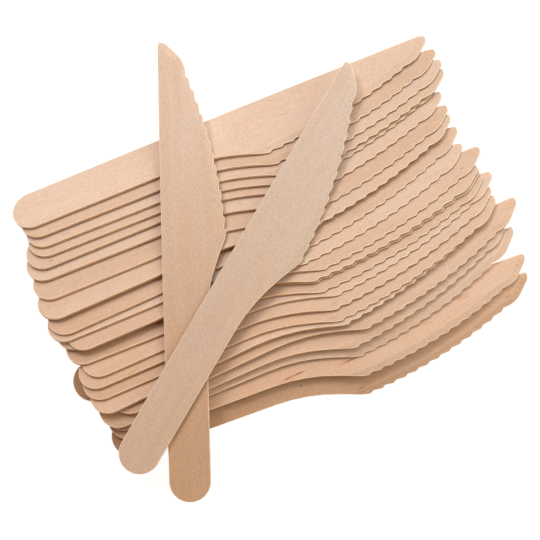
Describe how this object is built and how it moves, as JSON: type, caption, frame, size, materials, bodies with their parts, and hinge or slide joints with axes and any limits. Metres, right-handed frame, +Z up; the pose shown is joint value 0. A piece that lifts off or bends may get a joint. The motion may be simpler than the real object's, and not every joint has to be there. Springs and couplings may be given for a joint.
{
  "type": "pack of wooden knives",
  "caption": "Loose pack of flat one-piece wooden table knives with serrated blades, leaning on each other like fallen dominoes, with some lying crossed on top.",
  "frame": {"origin": "middle of the pack's bounding box in plan, on the surface that the knives lie on", "axes": "+Z up; +X along the longer side of the pack in plan, roughly from the fan's handles towards its points; +Y across it, towards the points of the crossed knives"},
  "size_m": [0.189, 0.1684, 0.0211],
  "materials": {
    "birch": "matte, uncoated, lightly sanded"
  },
  "bodies": {
    "root": {"knife_01": "birch", "knife_02": "birch", "knife_03": "birch", "knife_04": "birch", "knife_05": "birch", "knife_06": "birch", "knife_07": "birch", "knife_08": "birch", "knife_09": "birch", "knife_10": "birch", "knife_11": "birch", "knife_12": "birch", "knife_13": "birch", "knife_14": "birch", "knife_15": "birch", "knife_16": "birch", "knife_17": "birch", "knife_18": "birch", "knife_19": "birch", "knife_20": "birch", "knife_21": "birch", "knife_22": "birch", "knife_23": "birch", "knife_24": "birch", "knife_25": "birch", "knife_vertical": "birch", "knife_diagonal": "birch"}
  },
  "joints": []
}
